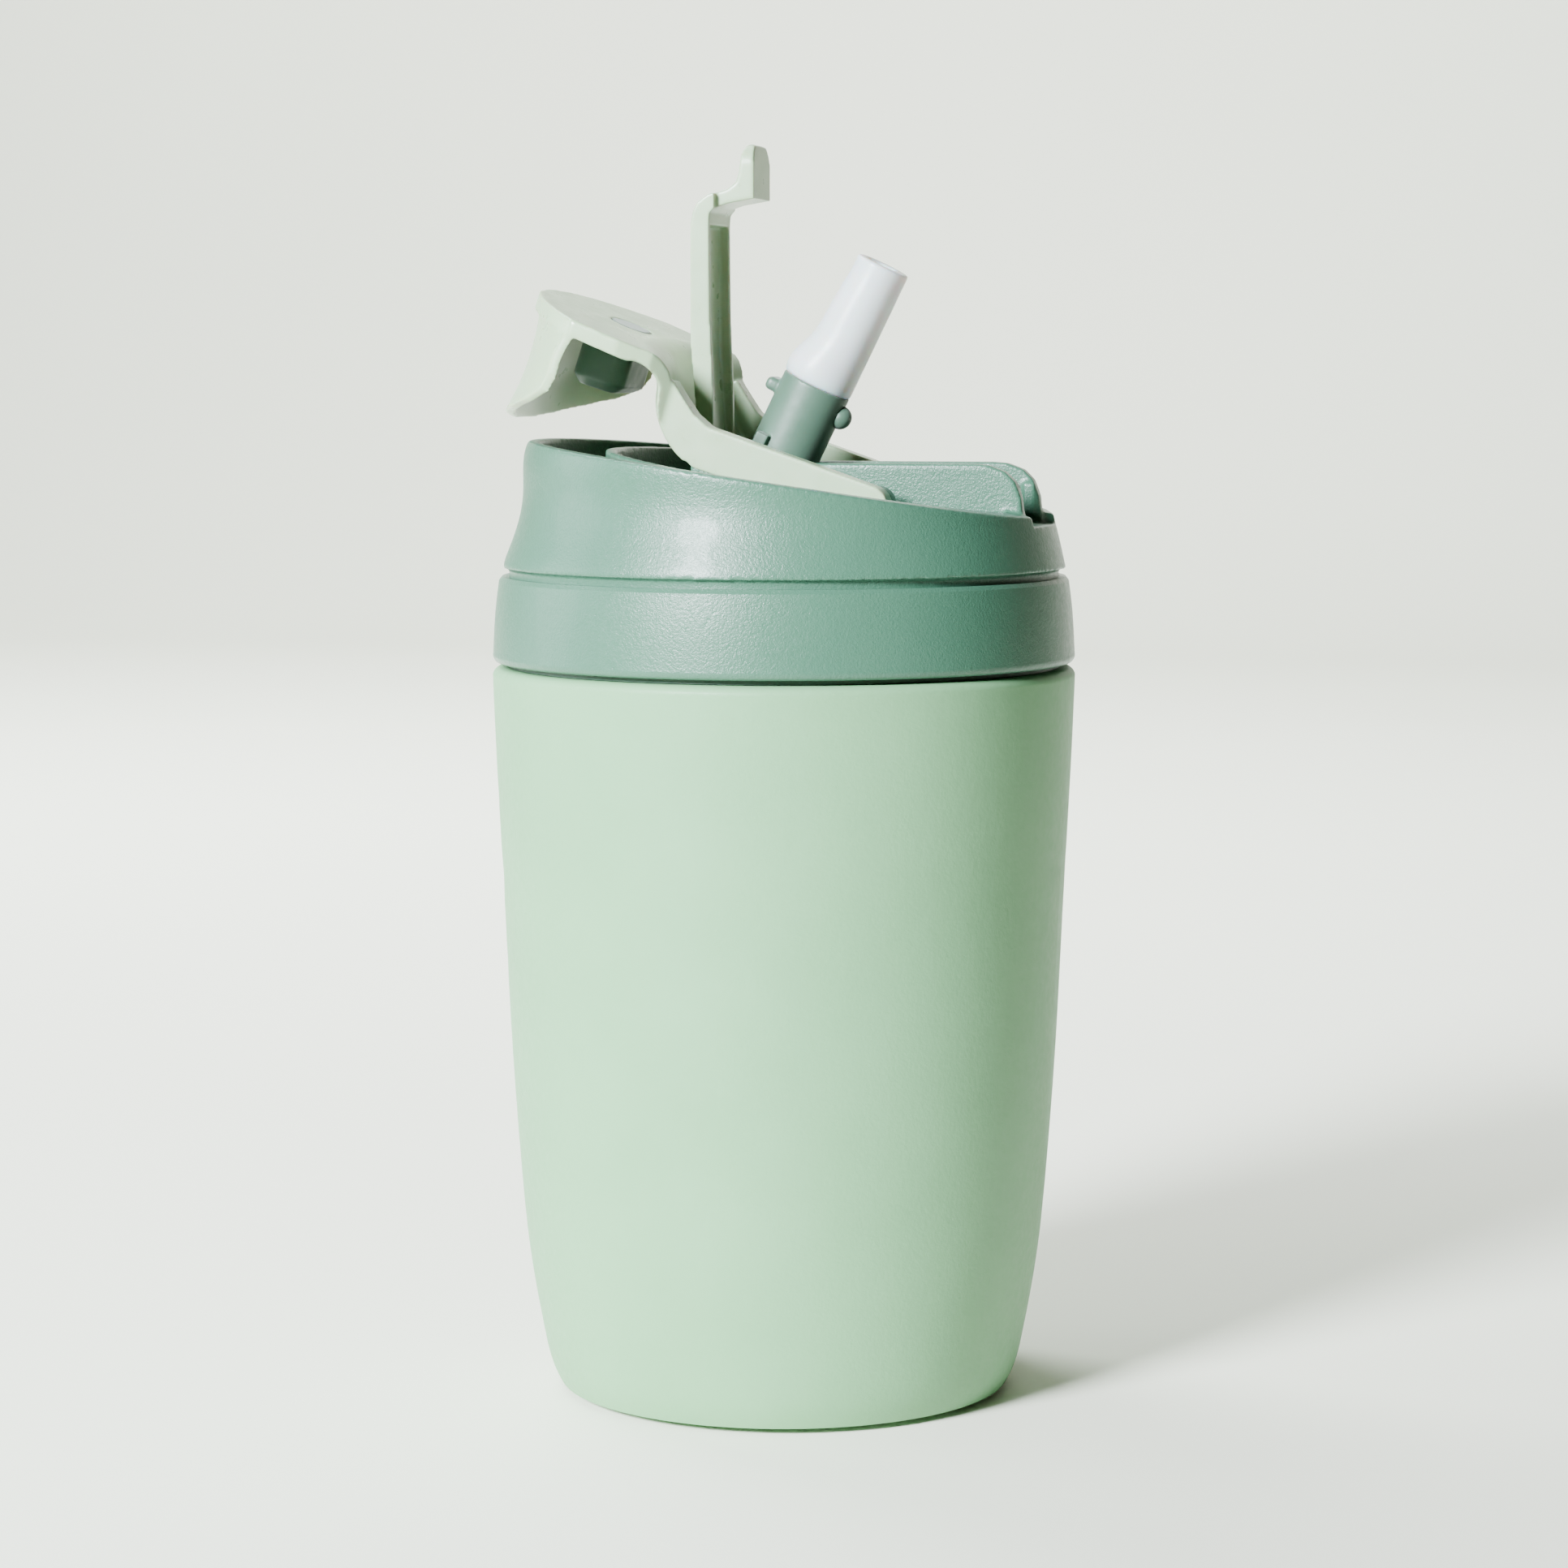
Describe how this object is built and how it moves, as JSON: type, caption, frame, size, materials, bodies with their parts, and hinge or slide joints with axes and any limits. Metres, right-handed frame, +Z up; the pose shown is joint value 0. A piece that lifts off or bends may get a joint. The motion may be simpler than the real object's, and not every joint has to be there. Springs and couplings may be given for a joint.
{
  "type": "insulated tumbler",
  "caption": "Insulated steel tumbler with a screw-on lid that has a hinged sip cap, a hinged straw cover and a folding straw spout.",
  "frame": {"origin": "centre of the flat base, on the surface it stands on", "axes": "+Z up the cup, +X towards the end of the lid where the spout folds down, -X towards the sip hole and thumb tab"},
  "size_m": [0.0879, 0.088, 0.1882],
  "materials": {
    "powder_coat": "satin",
    "steel": "brushed",
    "getter_metal": "matte",
    "sage_plastic": "satin",
    "pale_plastic": "satin",
    "inner_plastic": "matte",
    "dark_silicone": "matte",
    "clear_silicone": "translucent",
    "straw_plastic": "translucent"
  },
  "bodies": {
    "cup": {"outer_shell": "powder_coat", "inner_liner": "steel", "base_plate": "steel", "base_pad": "dark_silicone", "vacuum_getter": "getter_metal"},
    "gasket": {"lid_gasket": "dark_silicone"},
    "lid": {"lid_shell": "sage_plastic", "lid_collar": "sage_plastic", "lid_inner": "inner_plastic", "spout_seal": "clear_silicone", "straw_adapter": "straw_plastic", "straw_tube": "straw_plastic", "cap_pin_front": "steel", "cap_pin_rear": "steel", "cover_pin": "steel"},
    "sip_cap": {"sip_cap": "pale_plastic", "sip_stopper": "dark_silicone"},
    "straw_cover": {"straw_cover": "pale_plastic"},
    "spout": {"spout_body": "dark_silicone", "mouthpiece": "clear_silicone", "vent_nub": "dark_silicone"}
  },
  "joints": [
    {"name": "lid_rise", "type": "slide", "parent": "cup", "child": "gasket", "axis": [0, 0, 1], "range_m": [0, 0.0121]},
    {"name": "lid_turn", "type": "hinge", "parent": "gasket", "child": "lid", "pos_m": [0, 0, 0.111], "axis": [0, 0, 1], "range_deg": [0, 540]},
    {"name": "cap_hinge", "type": "hinge", "parent": "lid", "child": "sip_cap", "pos_m": [0.0175, 0, 0.135], "axis": [0, 1, 0], "range_deg": [-18, 0]},
    {"name": "cover_hinge", "type": "hinge", "parent": "lid", "child": "straw_cover", "pos_m": [-0.0095, 0, 0.1415], "axis": [0, 1, 0], "range_deg": [0, 90]},
    {"name": "spout_hinge", "type": "hinge", "parent": "lid", "child": "spout", "pos_m": [-0.0018, 0, 0.1383], "axis": [0, 1, 0], "range_deg": [0, 76.1]}
  ],
  "couplings": [
    {"joint": "lid_rise", "follows": "lid_turn", "m_per_rad": 0.0012732},
    {"joint": "spout_hinge", "follows": "cover_hinge", "ratio": 0.84444}
  ]
}
